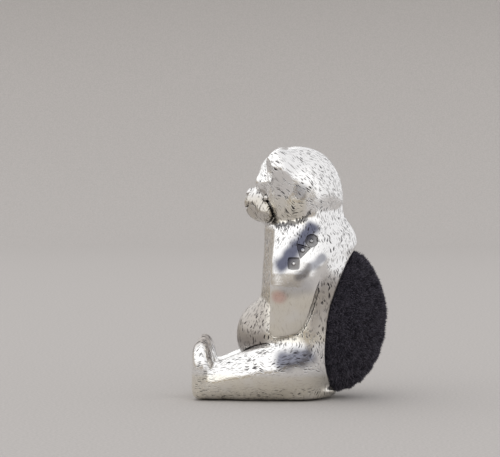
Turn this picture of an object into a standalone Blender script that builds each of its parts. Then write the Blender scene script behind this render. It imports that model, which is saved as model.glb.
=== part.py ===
"""A seated teddy bear pincushion: a hollow silver bear whose open back holds a domed velvet pad.

The bear faces -Y, its left side is at +X and +Z is up. The origin lies on the table, in the middle of the
flat of the seat. Sizes are in metres.
"""
import math

import bmesh
import bpy
from mathutils import Matrix, Vector

MM = 0.001

# Whole bear
HEIGHT = 37.9 * MM
WALL = 0.8 * MM
FIT = 0.3 * MM
SEAT_SINK = 0.4 * MM
SEAT_WIDTH = 13.2 * MM
SEAT_DEPTH = 10.2 * MM
SEAT_HEIGHT = 3.8 * MM
SEAT_LEVEL = 1.2 * MM

# Torso: hips, back, hump between the shoulders, chest and pot belly
HIP_WIDTH = 16.2 * MM
HIP_DEPTH = 14.0 * MM
HIP_HEIGHT = 19.8 * MM
HIP_SETBACK = 0.7 * MM
BACK_WIDTH = 15.0 * MM
BACK_DEPTH = 14.2 * MM
BACK_HEIGHT = 18.0 * MM
BACK_SETBACK = 1.7 * MM
BACK_TOP = 27.0 * MM
HUMP_WIDTH = 12.0 * MM
HUMP_DEPTH = 12.2 * MM
HUMP_HEIGHT = 10.4 * MM
HUMP_SETBACK = 2.6 * MM
HUMP_DROP = 3.6 * MM
BLADE_WIDTH = 4.8 * MM
BLADE_DEPTH = 6.4 * MM
BLADE_HEIGHT = 9.0 * MM
BLADE_SPREAD = 10.4 * MM
BLADE_SETBACK = 2.6 * MM
BLADE_DROP = 5.5 * MM
COLLAR_WIDTH = 12.8 * MM
COLLAR_DEPTH = 11.8 * MM
COLLAR_HEIGHT = 5.4 * MM
COLLAR_SETBACK = 0.8 * MM
CHEST_WIDTH = 9.0 * MM
CHEST_FRONT = 5.5 * MM
CHEST_DROP = 1.9 * MM
BELLY_WIDTH = 11.8 * MM
BELLY_DEPTH = 12.8 * MM
BELLY_HEIGHT = 12.4 * MM
BELLY_FRONT = 9.6 * MM
BELLY_LEVEL = 9.5 * MM

# Head
HEAD_WIDTH = 13.0 * MM
HEAD_DEPTH = 11.9 * MM
HEAD_HEIGHT = 12.0 * MM
HEAD_SETBACK = 0.2 * MM
FOREHEAD_WIDTH = 9.8 * MM
FOREHEAD_DEPTH = 9.2 * MM
FOREHEAD_HEIGHT = 7.4 * MM
FOREHEAD_FORWARD = 1.8 * MM
FOREHEAD_RISE = 2.1 * MM
NECK_WIDTH = 10.8 * MM
NECK_SETBACK = 1.4 * MM
CHEEK_WIDTH = 7.0 * MM
CHEEK_DEPTH = 5.5 * MM
CHEEK_HEIGHT = 5.2 * MM
CHEEK_SPREAD = 6.6 * MM
CHEEK_FORWARD = 1.1 * MM
CHEEK_DROP = 2.8 * MM
MUZZLE_REACH = 2.7 * MM
MUZZLE_WIDTH = 5.7 * MM
MUZZLE_ROOT_WIDTH = 6.8 * MM
MUZZLE_ROOT_FORWARD = 3.2 * MM
MUZZLE_ROOT_LOWER = 0.6 * MM
MUZZLE_DROP = 2.4 * MM
LIP_WIDTH = 4.7 * MM
LIP_DEPTH = 2.9 * MM
LIP_HEIGHT = 3.5 * MM
LIP_SPREAD = 4.4 * MM
LIP_SETBACK = 2.1 * MM
LIP_DROP = 3.55 * MM
BROW_WIDTH = 4.4 * MM
BROW_THICKNESS = 2.7 * MM
BROW_HEIGHT = 3.0 * MM
BROW_SPREAD = 3.4 * MM
BROW_INSET = 0.4 * MM
BROW_RISE = 0.8 * MM
EAR_WIDTH = 5.2 * MM
EAR_THICKNESS = 3.8 * MM
EAR_HEIGHT = 5.4 * MM
EAR_INSET = 1.2 * MM
EAR_DROP = 2.9 * MM
EAR_SETBACK = 2.6 * MM
EAR_BORDER = 1.0 * MM
EAR_CUP_DEPTH = 0.9 * MM
EAR_CUP_SEGMENTS = 16
EAR_CUP_RINGS = 10

# Arms, from the shoulder down to the hand on the thigh
ARM_FLATNESS = 0.62
ARM_INSET = 0.3 * MM
SHOULDER_WIDTH = 7.6 * MM
SHOULDER_DROP = 2.2 * MM
SHOULDER_TUCK = 2.2 * MM
SHOULDER_SETBACK = 0.3 * MM
ARM_WIDTH = 7.9 * MM
ELBOW_WIDTH = 7.6 * MM
WRIST_WIDTH = 6.5 * MM
HAND_WIDTH = 5.4 * MM
HAND_FORWARD = 1.95 * MM
HAND_SINK = 0.3 * MM
ARM_DROP_SHARES = (0.28, 0.54, 0.78)
ARM_LEAN_SHARES = (0.29, 0.4, 0.7)

# Legs, with the feet turned up
LEG_SPREAD = 8.4 * MM
FOOT_SPREAD = 8.8 * MM
LEG_REACH = 16.4 * MM
THIGH_WIDTH = 9.8 * MM
THIGH_FORWARD = 1.0 * MM
THIGH_SLOPE = 12.0
KNEE_WIDTH = 8.6 * MM
SHIN_WIDTH = 7.2 * MM
ANKLE_WIDTH = 5.9 * MM
KNEE_SHARE = 0.3
SHIN_SHARE = 0.6
FOOT_WIDTH = 6.0 * MM
FOOT_THICKNESS = 3.6 * MM
FOOT_HEIGHT = 9.2 * MM
HEEL_WIDTH = 4.8 * MM
HEEL_DEPTH = 4.6 * MM
HEEL_HEIGHT = 4.6 * MM

# Oval opening in the back, and the pad in it
SIDE_BAND = 1.5 * MM
SEAT_BAND = 0.9 * MM
NAPE_BAND = 4.3 * MM
RIM_DEPTH = 4.0 * MM
RIM_LEVEL = 7.0 * MM
RIM_RADIUS = 30.0 * MM
RIM_LOWER_RADIUS = 18.6 * MM
RIM_SEGMENTS = 96
PAD_REACH = 12.7 * MM
PAD_SHOULDER = 5.0 * MM
PAD_FULLNESS = 2.2
PAD_END_TURN = 60.0
VELVET = 0.9 * MM
VELVET_TUCK = 4.5 * MM

# Fineness of the surface
SKIN_CELL = 0.4 * MM
LINING_CELL = 0.55 * MM
SOFTENING = 0.5
SKIN_SMOOTHING_STEPS = 5
SKIN_ALLOWANCE = 0.08 * MM
LINING_SMOOTHING_STEPS = 4
SKIN_KEPT = 0.12
LINING_KEPT = 0.12
LEAST_LINING = 0.6 * MM
LIMB_STEPS = 5
BALL_SEGMENTS = 32
BALL_RINGS = 20
PAD_SEGMENTS = 36
PAD_RINGS = 20

SIDES = (-1, 1)
HEAD_CENTRE = Vector((0, HEAD_SETBACK, HEIGHT - HEAD_HEIGHT / 2))
FACE = HEAD_SETBACK - HEAD_DEPTH / 2
OPENING_WIDTH = HIP_WIDTH - 2 * SIDE_BAND
OPENING_TOP = BACK_TOP - NAPE_BAND
OPENING_HEIGHT = OPENING_TOP - SEAT_BAND
OPENING_LEVEL = SEAT_BAND + OPENING_HEIGHT / 2
BEHIND = PAD_REACH + BACK_DEPTH


def clear_scene():
    """Start from an empty scene."""
    for thing in list(bpy.data.objects):
        bpy.data.objects.remove(thing, do_unlink=True)


def make_collection(name):
    collection = bpy.data.collections.new(name)
    bpy.context.scene.collection.children.link(collection)
    return collection


def make_material(name, colour, roughness, metallic):
    material = bpy.data.materials.new(name)
    material.use_nodes = True
    shader = material.node_tree.nodes["Principled BSDF"]
    shader.inputs["Base Color"].default_value = (*colour, 1.0)
    shader.inputs["Roughness"].default_value = roughness
    shader.inputs["Metallic"].default_value = metallic
    material.diffuse_color = (*colour, 1.0)
    return material


def add_object(name, mesh, collection, material=None):
    thing = bpy.data.objects.new(name, mesh)
    collection.objects.link(thing)
    if material:
        mesh.materials.append(material)
    return thing


def as_cutter(thing):
    """A guide that shapes the pieces and isn't one itself."""
    thing.hide_render = True
    thing.display_type = "WIRE"
    return thing


def cut(thing, cutter, operation="DIFFERENCE"):
    modifier = thing.modifiers.new(operation.title() + " " + cutter.name, "BOOLEAN")
    modifier.operation = operation
    modifier.object = cutter
    modifier.solver = "EXACT"
    modifier.double_threshold = 0


# Forms of the bear. Each is a ball: its centre and its three half sizes.

def ball(centre, width, depth, height):
    return Vector(centre), Vector((width / 2, depth / 2, height / 2))


def limb(joints, flatness=1.0):
    """Balls close together along a limb; a joint is a place and a width there."""
    balls = []
    for (start, start_width), (end, end_width) in zip(joints, joints[1:]):
        for step in range(LIMB_STEPS + 1):
            share = step / LIMB_STEPS
            centre = Vector(start).lerp(Vector(end), share)
            width = start_width + (end_width - start_width) * share
            balls.append(ball(centre, width * flatness, width, width))
    return balls


def blended(forms):
    """The balls, with others in between that melt each one into the next."""
    balls = [forms[0]]
    for (start, start_half), (end, end_half) in zip(forms, forms[1:]):
        for step in range(1, LIMB_STEPS + 1):
            share = step / LIMB_STEPS
            balls.append((start.lerp(end, share), start_half.lerp(end_half, share)))
    return balls


def torso_forms():
    hips = ball((0, HIP_SETBACK, HIP_HEIGHT / 2 - SEAT_SINK), HIP_WIDTH, HIP_DEPTH, HIP_HEIGHT)
    back = ball((0, BACK_SETBACK, BACK_TOP - BACK_HEIGHT / 2), BACK_WIDTH, BACK_DEPTH, BACK_HEIGHT)
    hump = ball((0, HUMP_SETBACK, BACK_TOP - HUMP_DROP), HUMP_WIDTH, HUMP_DEPTH, HUMP_HEIGHT)
    belly = ball((0, BELLY_DEPTH / 2 - BELLY_FRONT, BELLY_LEVEL), BELLY_WIDTH, BELLY_DEPTH, BELLY_HEIGHT)
    chest_y = CHEST_WIDTH / 2 - CHEST_FRONT
    chest = limb([((0, chest_y, BELLY_LEVEL + BELLY_HEIGHT / 2), CHEST_WIDTH),
                  ((0, chest_y, BACK_TOP - CHEST_DROP), CHEST_WIDTH)])
    neck = limb([((0, NECK_SETBACK, BACK_TOP - HUMP_DROP), NECK_WIDTH),
                 ((0, NECK_SETBACK, HEAD_CENTRE.z - HEAD_HEIGHT / 4), NECK_WIDTH)])
    seat = ball((0, HIP_SETBACK, SEAT_LEVEL), SEAT_WIDTH, SEAT_DEPTH, SEAT_HEIGHT)
    collar = ball((0, COLLAR_SETBACK, BACK_TOP), COLLAR_WIDTH, COLLAR_DEPTH, COLLAR_HEIGHT)
    blades = [ball((side * BLADE_SPREAD / 2, BLADE_SETBACK, BACK_TOP - BLADE_DROP),
                   BLADE_WIDTH, BLADE_DEPTH, BLADE_HEIGHT) for side in SIDES]
    return blended([hips, back, hump]) + [belly, seat, collar] + blades + chest + neck


def head_forms():
    """Skull, forehead, muzzle and cheeks."""
    skull = ball(HEAD_CENTRE, HEAD_WIDTH, HEAD_DEPTH, HEAD_HEIGHT)
    above = HEAD_CENTRE + Vector((0, -FOREHEAD_FORWARD, FOREHEAD_RISE))
    forehead = ball(above, FOREHEAD_WIDTH, FOREHEAD_DEPTH, FOREHEAD_HEIGHT)
    root = HEAD_CENTRE - Vector((0, MUZZLE_ROOT_FORWARD, MUZZLE_DROP + MUZZLE_ROOT_LOWER))
    tip = (0, FACE - MUZZLE_REACH + MUZZLE_WIDTH / 2, HEAD_CENTRE.z - MUZZLE_DROP)
    muzzle = limb([(root, MUZZLE_ROOT_WIDTH), (tip, MUZZLE_WIDTH)])
    forms = [skull, forehead] + muzzle
    for side in SIDES:
        cheek = HEAD_CENTRE + Vector((side * CHEEK_SPREAD / 2, -CHEEK_FORWARD, -CHEEK_DROP))
        forms.append(ball(cheek, CHEEK_WIDTH, CHEEK_DEPTH, CHEEK_HEIGHT))
    return forms


def solid_forms():
    """Ears, brows, lips and feet: small, and not hollowed."""
    forms = []
    for side in SIDES:
        brow = Vector((side * BROW_SPREAD / 2, FACE + BROW_INSET, HEAD_CENTRE.z + BROW_RISE))
        forms.append(ball(brow, BROW_WIDTH, BROW_THICKNESS, BROW_HEIGHT))
        lip_y = FACE - MUZZLE_REACH + LIP_SETBACK + LIP_DEPTH / 2
        lip = Vector((side * LIP_SPREAD / 2, lip_y, HEAD_CENTRE.z - LIP_DROP))
        forms.append(ball(lip, LIP_WIDTH, LIP_DEPTH, LIP_HEIGHT))
        forms.append(ball(ear_centre(side), EAR_WIDTH, EAR_THICKNESS, EAR_HEIGHT))
        x = side * FOOT_SPREAD / 2
        foot_y = FOOT_THICKNESS / 2 - LEG_REACH
        forms.append(ball((x, foot_y, FOOT_HEIGHT / 2), FOOT_WIDTH, FOOT_THICKNESS, FOOT_HEIGHT))
        heel_y = HEEL_DEPTH / 2 - LEG_REACH
        forms.append(ball((x, heel_y, HEEL_HEIGHT / 2 - SEAT_SINK), HEEL_WIDTH, HEEL_DEPTH, HEEL_HEIGHT))
    return forms


def ear_centre(side):
    return Vector((side * (HEAD_WIDTH / 2 - EAR_INSET), FACE + EAR_SETBACK, HEIGHT - EAR_DROP))


def thigh_top():
    return (THIGH_WIDTH - SEAT_SINK) * math.cos(math.radians(THIGH_SLOPE))


def arm_forms(side):
    """A flat arm: broad at the shoulder, narrow at the hand, which lies on the thigh."""
    outer = BACK_WIDTH / 2 - ARM_INSET
    shoulder = Vector((outer - SHOULDER_TUCK, SHOULDER_SETBACK, BACK_TOP - SHOULDER_DROP))
    hand = Vector((outer, -HAND_FORWARD, thigh_top() + HAND_WIDTH / 2 - HAND_SINK))
    joints = [(shoulder, SHOULDER_WIDTH)]
    places = zip((outer - SHOULDER_TUCK / 4, outer, outer), ARM_LEAN_SHARES, ARM_DROP_SHARES)
    for (x, lean, drop), width in zip(places, (ARM_WIDTH, ELBOW_WIDTH, WRIST_WIDTH)):
        y = shoulder.y + (hand.y - shoulder.y) * lean
        z = shoulder.z + (hand.z - shoulder.z) * drop
        joints.append(((x, y, z), width))
    joints.append((hand, HAND_WIDTH))
    placed = [((side * place[0], place[1], place[2]), width) for place, width in joints]
    return limb(placed, ARM_FLATNESS)


def leg_forms(side):
    """A leg straight out along the table, up to its foot."""
    x = side * LEG_SPREAD / 2
    ankle_y = FOOT_THICKNESS - LEG_REACH
    run = ankle_y + THIGH_FORWARD
    joints = [(-THIGH_FORWARD, THIGH_WIDTH),
              (-THIGH_FORWARD + run * KNEE_SHARE, KNEE_WIDTH),
              (-THIGH_FORWARD + run * SHIN_SHARE, SHIN_WIDTH),
              (ankle_y, ANKLE_WIDTH)]
    return limb([((x, y, width / 2 - SEAT_SINK), width) for y, width in joints])


def hollow_forms():
    """All that is hollow in the stamped silver."""
    forms = torso_forms() + head_forms()
    for side in SIDES:
        forms += arm_forms(side) + leg_forms(side)
    return forms


def unit_ball():
    mesh = bpy.data.meshes.new("unit_ball")
    shape = bmesh.new()
    bmesh.ops.create_uvsphere(shape, u_segments=BALL_SEGMENTS, v_segments=BALL_RINGS, radius=1.0)
    shape.to_mesh(mesh)
    shape.free()
    return mesh


def forms_mesh(name, forms, inset):
    """One mesh of all the balls, each smaller by the inset all round. Smoothing takes a little off."""
    unit = unit_ball()
    shape = bmesh.new()
    for centre, half in forms:
        inner = half - Vector((inset, inset, inset))
        if inset > 0 and min(inner) < LEAST_LINING:
            continue
        placed = unit.copy()
        placed.transform(Matrix.LocRotScale(centre, None, inner))
        shape.from_mesh(placed)
        bpy.data.meshes.remove(placed)
    bpy.data.meshes.remove(unit)
    mesh = bpy.data.meshes.new(name)
    shape.to_mesh(mesh)
    shape.free()
    return mesh


def fuse(thing, cell, steps, kept):
    """Melt overlapping balls to one smooth skin of few faces."""
    remesh = thing.modifiers.new("Fuse", "REMESH")
    remesh.mode = "VOXEL"
    remesh.voxel_size = cell
    smooth = thing.modifiers.new("Soften", "SMOOTH")
    smooth.factor = SOFTENING
    smooth.iterations = steps
    thin = thing.modifiers.new("Fewer faces", "DECIMATE")
    thin.ratio = kept


# The pad: an oval plug in the opening with a dome behind it.

def rounded(share):
    return abs(share) ** (2 / PAD_FULLNESS)


def pad_point(unit, width, height, reach, front):
    """Move a point of a unit ball, whose axis is Y, on to the plug and dome."""
    tilt = math.asin(max(-1.0, min(1.0, unit.y)))
    round_x = unit.x / max(math.cos(tilt), 1e-6)
    round_z = unit.z / max(math.cos(tilt), 1e-6)
    if tilt >= 0:
        spread = rounded(math.cos(tilt))
        y = PAD_SHOULDER + (reach - PAD_SHOULDER) * rounded(math.sin(tilt))
    else:
        turn = math.radians(PAD_END_TURN)
        spread = 1.0 if -tilt < turn else (math.pi / 2 + tilt) / (math.pi / 2 - turn)
        y = PAD_SHOULDER + (front - PAD_SHOULDER) * min(-tilt / turn, 1.0)
    return Vector((round_x * spread * width / 2, y, OPENING_LEVEL + round_z * spread * height / 2))


def pad_mesh(name, inset, front):
    """The pad's outer form, smaller by the inset, its flat end at y = front."""
    mesh = bpy.data.meshes.new(name)
    shape = bmesh.new()
    bmesh.ops.create_uvsphere(shape, u_segments=PAD_SEGMENTS, v_segments=PAD_RINGS, radius=1.0)
    width = OPENING_WIDTH - 2 * (FIT + inset)
    height = OPENING_HEIGHT - 2 * (FIT + inset)
    for vert in shape.verts:
        unit = Vector((vert.co.x, -vert.co.z, vert.co.y))
        vert.co = pad_point(unit, width, height, PAD_REACH - inset, front)
    bmesh.ops.recalc_face_normals(shape, faces=shape.faces)
    shape.to_mesh(mesh)
    shape.free()
    return mesh


def block(name, collection, low, high):
    """A box between two corners, to cut with."""
    mesh = bpy.data.meshes.new(name)
    shape = bmesh.new()
    made = bmesh.ops.create_cube(shape, size=1.0)
    size = Vector(high) - Vector(low)
    bmesh.ops.scale(shape, vec=size, verts=made["verts"])
    bmesh.ops.translate(shape, vec=(Vector(low) + Vector(high)) / 2, verts=made["verts"])
    shape.to_mesh(mesh)
    shape.free()
    return as_cutter(add_object(name, mesh, collection))


def opening_cutter(cutters):
    """An oval bar along Y, from the mouth of the pocket out through the back."""
    mesh = bpy.data.meshes.new("opening")
    shape = bmesh.new()
    bmesh.ops.create_cone(shape, cap_ends=True, segments=PAD_SEGMENTS, radius1=0.5, radius2=0.5, depth=1.0)
    mouth = PAD_SHOULDER - VELVET_TUCK - FIT
    for vert in shape.verts:
        x, y, z = vert.co
        vert.co = Vector((x * OPENING_WIDTH,
                          mouth + (z + 0.5) * (BEHIND - mouth),
                          OPENING_LEVEL + y * OPENING_HEIGHT))
    bmesh.ops.recalc_face_normals(shape, faces=shape.faces)
    shape.to_mesh(mesh)
    shape.free()
    return as_cutter(add_object("opening", mesh, cutters))


def rim_cutter(cutters):
    """A round bar across the back, which hollows out the silver's edge round the opening."""
    mesh = bpy.data.meshes.new("rim")
    shape = bmesh.new()
    bmesh.ops.create_cone(shape, cap_ends=True, segments=RIM_SEGMENTS, radius1=1.0, radius2=1.0, depth=1.0)
    for vert in shape.verts:
        x, y, z = vert.co
        height = RIM_RADIUS if y > 0 else RIM_LOWER_RADIUS
        vert.co = Vector((z * HEIGHT, RIM_DEPTH + RIM_RADIUS * (1 + x), RIM_LEVEL + y * height))
    shape.normal_update()
    bmesh.ops.recalc_face_normals(shape, faces=shape.faces)
    shape.to_mesh(mesh)
    shape.free()
    return as_cutter(add_object("rim", mesh, cutters))


def lining(name, inset, cutters):
    """The inside of the bear: the same forms, smaller, with a flat floor."""
    form = add_object(name, forms_mesh(name, hollow_forms(), inset), cutters)
    fuse(form, LINING_CELL, LINING_SMOOTHING_STEPS, LINING_KEPT)
    reach = HEIGHT
    floor = block(name + "_floor", cutters, (-reach, -reach, -reach), (reach, reach, inset))
    cut(form, floor)
    return as_cutter(form)


def ear_cups(cutters):
    """The hollows in the fronts of the ears."""
    mesh = bpy.data.meshes.new("ear_cups")
    shape = bmesh.new()
    for side in SIDES:
        made = bmesh.ops.create_uvsphere(
            shape, u_segments=EAR_CUP_SEGMENTS, v_segments=EAR_CUP_RINGS, radius=1.0)
        size = Vector((EAR_WIDTH / 2 - EAR_BORDER, EAR_CUP_DEPTH, EAR_HEIGHT / 2 - EAR_BORDER))
        centre = ear_centre(side) + Vector((0, -EAR_THICKNESS / 2, 0))
        bmesh.ops.scale(shape, vec=size, verts=made["verts"])
        bmesh.ops.translate(shape, vec=centre, verts=made["verts"])
    shape.to_mesh(mesh)
    shape.free()
    return as_cutter(add_object("ear_cups", mesh, cutters))


# Pieces

def bear_body(parts, cutters):
    """The hollow silver bear, with its flat seat and the oval opening in its back, its rim in-curved."""
    silver = make_material("silver", (0.87, 0.86, 0.84), 0.16, 1.0)
    skin = forms_mesh("bear_body", hollow_forms() + solid_forms(), -SKIN_ALLOWANCE)
    bear = add_object("bear_body", skin, parts, silver)
    fuse(bear, SKIN_CELL, SKIN_SMOOTHING_STEPS, SKIN_KEPT)
    reach = HEIGHT
    cut(bear, block("table", cutters, (-reach, -reach, -reach), (reach, reach, 0)))
    cut(bear, ear_cups(cutters))
    cut(bear, lining("hollow", WALL, cutters))
    cut(bear, opening_cutter(cutters))
    cut(bear, rim_cutter(cutters))
    return bear


def velvet_cover(parts, cutters):
    """The velvet: a dome whose edge is tucked in behind the rim of the opening."""
    velvet = make_material("velvet", (0.020, 0.017, 0.024), 0.95, 0.0)
    hem = PAD_SHOULDER - VELVET_TUCK
    cover = add_object("velvet_cover", pad_mesh("velvet_cover", 0, hem), parts, velvet)
    inside = add_object("velvet_inside", pad_mesh("velvet_inside", VELVET, hem - VELVET), cutters)
    cut(cover, as_cutter(inside))
    return cover


def cushion_stuffing(parts, cutters):
    """The filling: it packs the whole bear and swells out through the opening under the velvet."""
    filling = make_material("sawdust", (0.56, 0.42, 0.27), 0.95, 0.0)
    hem = PAD_SHOULDER - VELVET_TUCK
    inset = VELVET + FIT
    mesh = pad_mesh("cushion_stuffing", inset, hem - inset)
    stuffing = add_object("cushion_stuffing", mesh, parts, filling)
    packing = lining("packing", WALL + FIT, cutters)
    reach = HEIGHT
    cut(packing, block("behind_hem", cutters, (-reach, hem - FIT, -reach), (reach, reach, reach + HEIGHT)))
    cut(stuffing, packing, "UNION")
    return stuffing


def main():
    clear_scene()
    parts = make_collection("teddy_bear_pincushion")
    cutters = make_collection("cutters")
    bear_body(parts, cutters)
    velvet_cover(parts, cutters)
    cushion_stuffing(parts, cutters)


main()
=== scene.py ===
"""Teddy bear pincushion: a hollow silver bear, seated, with a domed velvet pad in its open back."""

import math

import bpy
import numpy as np
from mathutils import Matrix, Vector


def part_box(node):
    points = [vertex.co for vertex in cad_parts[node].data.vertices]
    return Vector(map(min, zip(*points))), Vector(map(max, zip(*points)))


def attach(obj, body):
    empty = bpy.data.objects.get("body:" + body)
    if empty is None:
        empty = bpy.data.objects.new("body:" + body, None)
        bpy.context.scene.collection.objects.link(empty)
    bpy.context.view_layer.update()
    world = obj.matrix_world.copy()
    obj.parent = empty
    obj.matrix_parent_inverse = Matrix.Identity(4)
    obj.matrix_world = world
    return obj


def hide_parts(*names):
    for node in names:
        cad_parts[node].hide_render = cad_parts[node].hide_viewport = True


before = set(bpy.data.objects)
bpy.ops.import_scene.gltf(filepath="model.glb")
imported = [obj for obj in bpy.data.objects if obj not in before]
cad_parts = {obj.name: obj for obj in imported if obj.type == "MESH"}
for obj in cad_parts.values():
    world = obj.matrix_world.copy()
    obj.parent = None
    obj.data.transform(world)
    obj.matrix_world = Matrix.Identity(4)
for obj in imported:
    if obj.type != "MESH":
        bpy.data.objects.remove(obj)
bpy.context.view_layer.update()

# The frame gives the scale: every length below is in millimetres on a bear of this height.
BEAR_HEIGHT = 37.9
BEAR_LOW, BEAR_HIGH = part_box("bear_body")
MM = (BEAR_HIGH.z - BEAR_LOW.z) / BEAR_HEIGHT

# Walls, gaps and the oval opening in the back
WALL = 0.8
LINING_GAP = 0.3
OPENING_HALF_WIDTH = 6.6
OPENING_HALF_HEIGHT = 10.9
OPENING_LEVEL = 11.8
OPENING_START = -1.0
RIM_DEPTH = 4.0
RIM_LEVEL = 7.0
RIM_RADIUS = 30.0
RIM_DROP = 18.6
COVER_THICKNESS = 0.9
COVER_TUCK = 0.5

# Grid cells: the whole bear, the face and the shoulder marks
SILVER_CELL = 0.22
FACE_CELL = 0.16
MARK_CELL = 0.13
COVER_CELL = 0.36
FILLING_CELL = 0.5
INNER_KEPT = 0.62


def soft_min(a, b, k):
    """Union of two fields, with a fillet about k wide."""
    h = np.clip(0.5 + 0.5 * (b - a) / k, 0, 1)
    return b + (a - b) * h - k * h * (1 - h)


def soft_max(a, b, k):
    """Intersection of two fields, with an edge rounded about k wide."""
    return -soft_min(-a, -b, k)


def seam(a, b, k, groove):
    """Union of two forms, with a chased line of that radius where they meet."""
    return soft_max(soft_min(a, b, k), groove - np.sqrt(a * a + b * b), 0.5 * groove)


def smooth_step(t):
    """0 below 0, 1 above 1 and smooth in between."""
    t = np.clip(t, 0, 1)
    return t * t * (3 - 2 * t)


def ellipsoid(p, centre, radii):
    """Field of an ellipsoid."""
    q = [p[i] - centre[i] for i in range(3)]
    k0 = np.sqrt(sum((q[i] / radii[i]) ** 2 for i in range(3)))
    k1 = np.sqrt(sum((q[i] / radii[i] ** 2) ** 2 for i in range(3))) + 1e-9
    return k0 * (k0 - 1) / k1


def cone(p, start, end, start_radius, end_radius):
    """Field of a bar with round ends whose radius runs from one end's to the other's."""
    line = np.subtract(end, start)
    q = [p[i] - start[i] for i in range(3)]
    t = np.clip(sum(q[i] * line[i] for i in range(3)) / float(line @ line), 0, 1)
    away = np.sqrt(sum((q[i] - line[i] * t) ** 2 for i in range(3)))
    return away - (start_radius + (end_radius - start_radius) * t)


def limb(p, points, radii, flat, k):
    """Field of a limb: bars end to end, squeezed sideways to the share flat."""
    q = (p[0] / flat, p[1], p[2])
    spots = [(x / flat, y, z) for x, y, z in points]
    d = None
    for start, end, r0, r1 in zip(spots, spots[1:], radii, radii[1:]):
        bar = cone(q, start, end, r0, r1) * flat
        d = bar if d is None else soft_min(d, bar, k)
    return d


def halves(p):
    """The points with the left half folded onto the right one."""
    return np.abs(p[0]), p[1], p[2]


def trunk(p):
    """Hips, back, hump, chest, belly, neck and the seat's rear edge."""
    d = ellipsoid(p, (0, 0.7, 9.6), (8.1, 7.0, 9.9))
    d = soft_min(d, ellipsoid(p, (0, 0.6, 1.2), (6.6, 5.1, 1.9)), 1.0)
    d = soft_min(d, ellipsoid(p, (0, 1.7, 18.0), (7.5, 7.1, 9.0)), 2.5)
    d = soft_min(d, ellipsoid(p, (0, 2.6, 23.4), (6.0, 6.1, 5.2)), 1.5)
    d = soft_min(d, cone(p, (0, -1.1, 15.5), (0, -0.8, 25.3), 4.5, 4.6), 1.0)
    d = soft_min(d, ellipsoid(p, (0, -3.2, 9.5), (5.9, 6.4, 6.2)), 0.8)
    return soft_min(d, cone(p, (0, 1.6, 24.5), (0, 1.2, 29.0), 5.2, 5.0), 1.5)


def skull(p):
    """Skull, forehead and jowls."""
    d = ellipsoid(p, (0, 0.2, 32.0), (6.5, 5.95, 6.0))
    d = soft_min(d, ellipsoid(p, (0, -1.6, 34.0), (4.6, 4.5, 3.6)), 1.5)
    return soft_min(d, ellipsoid(p, (3.3, -0.9, 29.1), (3.4, 2.7, 2.6)), 2.6)


def muzzle(p):
    """Muzzle with its chin."""
    d = cone(p, (0, -3.0, 28.9), (0, -5.6, 29.5), 3.4, 2.83)
    return soft_min(d, ellipsoid(p, (2.2, -4.95, 28.35), (2.35, 1.45, 1.75)), 0.8)


def ear(p):
    """Ear with its cup, which looks forward and outward."""
    d = ellipsoid(p, (5.3, -3.2, 35.0), (2.6, 1.9, 2.7))
    return soft_max(d, -ellipsoid(p, (6.4, -4.85, 34.5), (2.1, 0.9, 1.9)), 0.2)


EYE = (2.95, -4.95, 30.4)
EYE_RADIUS = 0.5


def face(p):
    """The head: skull, muzzle, brows, nose, mouth, eyes and ears."""
    d = soft_min(skull(p), ellipsoid(p, (1.7, -5.35, 32.7), (2.2, 1.35, 1.5)), 0.7)
    below_brow = smooth_step((30.9 - p[2]) / 1.2)
    creased = seam(d, muzzle(p), 0.3, 0.17)
    d = soft_min(d, muzzle(p), 0.6)
    d += (creased - d) * below_brow
    nose = ellipsoid(p, (0, -7.15, 30.9), (1.5, 1.05, 1.0))
    d = seam(d, nose, 0.1, 0.1)
    mouth = np.hypot(p[2] - 28.7 - 0.2 * p[0] ** 2, 0.4 * (p[1] + 8.1))
    d = soft_max(d, 0.2 - mouth, 0.1)
    d = soft_min(d, ear(p), 0.3 + 3.0 * smooth_step((p[1] + 4.6) / 1.2))
    away = np.sqrt(sum((p[i] - EYE[i]) ** 2 for i in range(3)))
    d = soft_max(d, EYE_RADIUS + 0.1 - away, 0.12)
    return np.minimum(d, away - EYE_RADIUS)


# The arm's line from the shoulder down: heights, then places along x and y and radii at each
ARM_HEIGHTS = (24.7, 20.8, 17.2, 14.0, 10.9)
ARM_COURSE = ((4.7, 6.5, 7.1, 7.3, 7.2), (0.3, -0.35, -0.6, -1.3, -1.95), (3.35, 3.65, 3.5, 2.9, 2.45))
ARM_STEPS = 10


def arm(p):
    """Arm that hangs from the shoulder, with its hand on the thigh."""
    heights = np.linspace(ARM_HEIGHTS[0], ARM_HEIGHTS[-1], ARM_STEPS)
    x, y, radii = (np.polyval(np.polyfit(ARM_HEIGHTS, values, 3), heights) for values in ARM_COURSE)
    d = limb(p, list(zip(x, y, heights)), radii, 0.62, 0.3)
    return soft_max(d, 9.35 + 0.2 * (p[1] + 4.5) - p[2], 0.6)


def leg(p):
    """Leg that lies forward on the floor, flat underneath."""
    points = [(4.2, -1.0, 4.8), (4.2, -4.5, 4.1), (4.2, -8.0, 3.35), (4.3, -12.6, 2.6)]
    return limb(p, points, [4.7, 4.3, 3.6, 2.95], 1.0, 1.2)


def foot(p):
    """Foot with its heel, sole forward."""
    d = ellipsoid(p, (4.4, -14.7, 4.6), (3.0, 1.85, 4.6))
    d = soft_min(d, ellipsoid(p, (4.35, -14.1, 1.9), (2.4, 2.4, 2.0)), 1.0)
    return soft_max(d, -16.3 - p[1], 0.8)


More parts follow.
